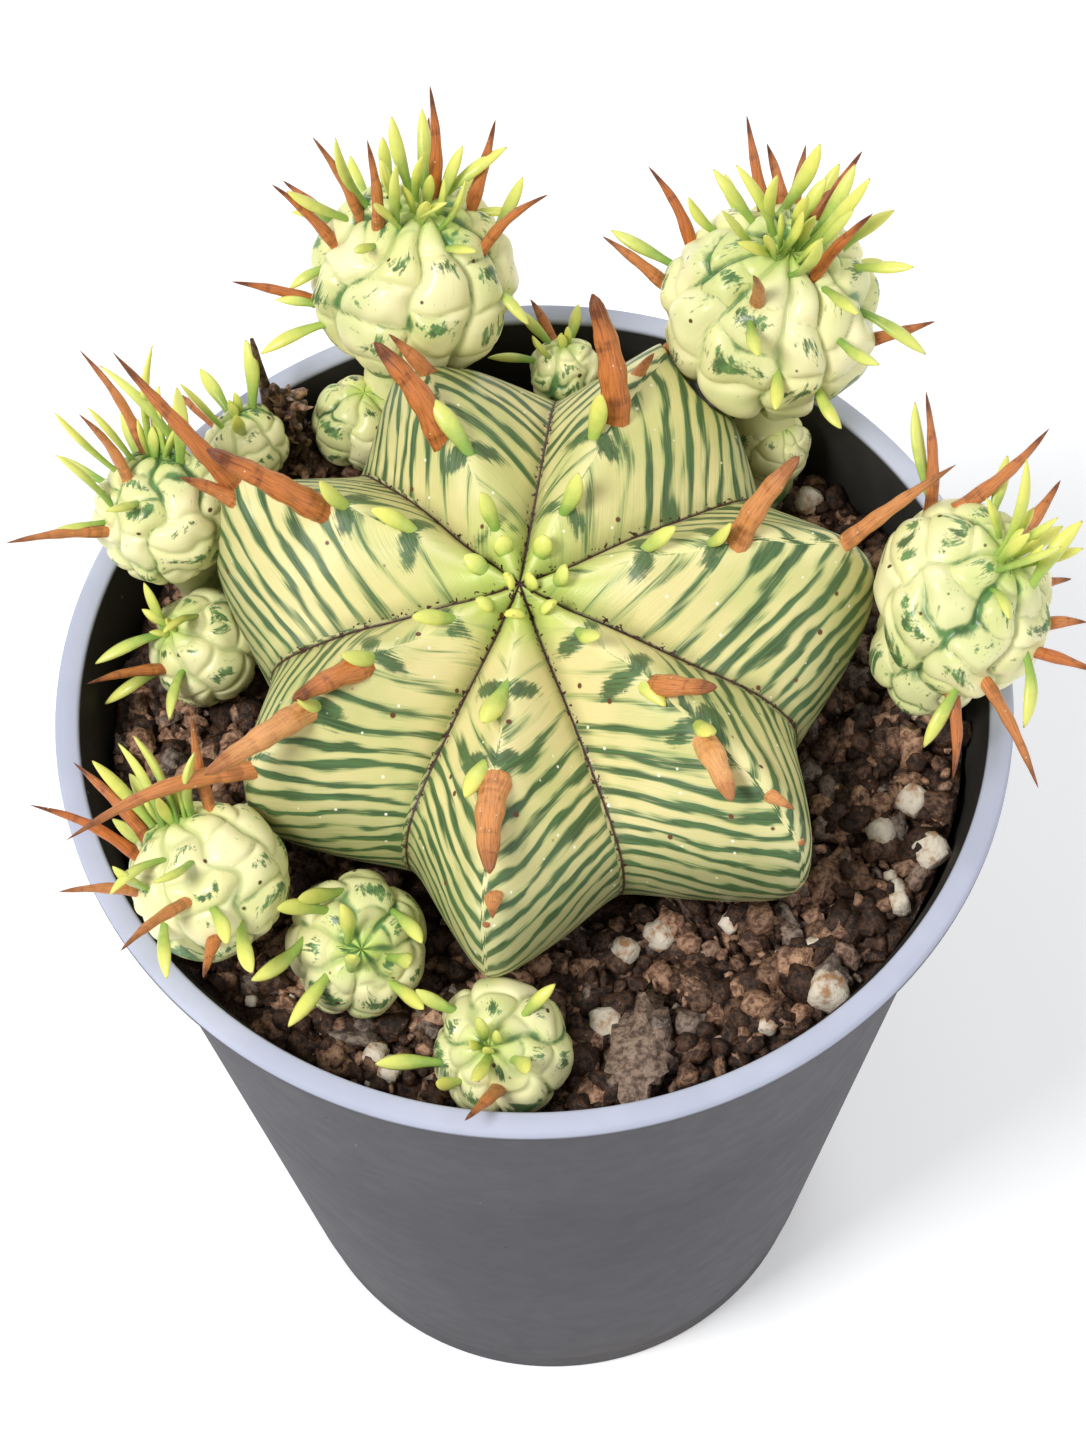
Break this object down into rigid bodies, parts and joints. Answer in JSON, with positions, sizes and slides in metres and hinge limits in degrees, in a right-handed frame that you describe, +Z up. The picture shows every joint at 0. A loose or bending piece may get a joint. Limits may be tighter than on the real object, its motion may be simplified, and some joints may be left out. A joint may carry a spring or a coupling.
{
  "type": "potted succulent plant",
  "caption": "Ribbed globe-shaped succulent with striped pale skin and a ring of leafy offsets, in bark mix in a tapered round pot.",
  "frame": {"origin": "centre of the flat underside of the pot's foot, where it stands", "axes": "+Z up along the pot's axis, -Y towards the front, +X to the right seen from the front"},
  "size_m": [0.1531, 0.1561, 0.2139],
  "materials": {
    "pot": "satin",
    "bark_mix": "matte",
    "main_flesh": "satin",
    "offset_flesh": "satin"
  },
  "bodies": {
    "root": {"pot": "pot", "bark_mix": "bark_mix", "main_head": "main_flesh", "offset_back_left": "offset_flesh", "offset_back_right": "offset_flesh", "offset_right": "offset_flesh", "offset_left": "offset_flesh", "offset_left_rear": "offset_flesh", "offset_left_low": "offset_flesh", "offset_front_left": "offset_flesh", "offset_front_small": "offset_flesh", "offset_front": "offset_flesh", "offset_back": "offset_flesh"}
  },
  "joints": []
}
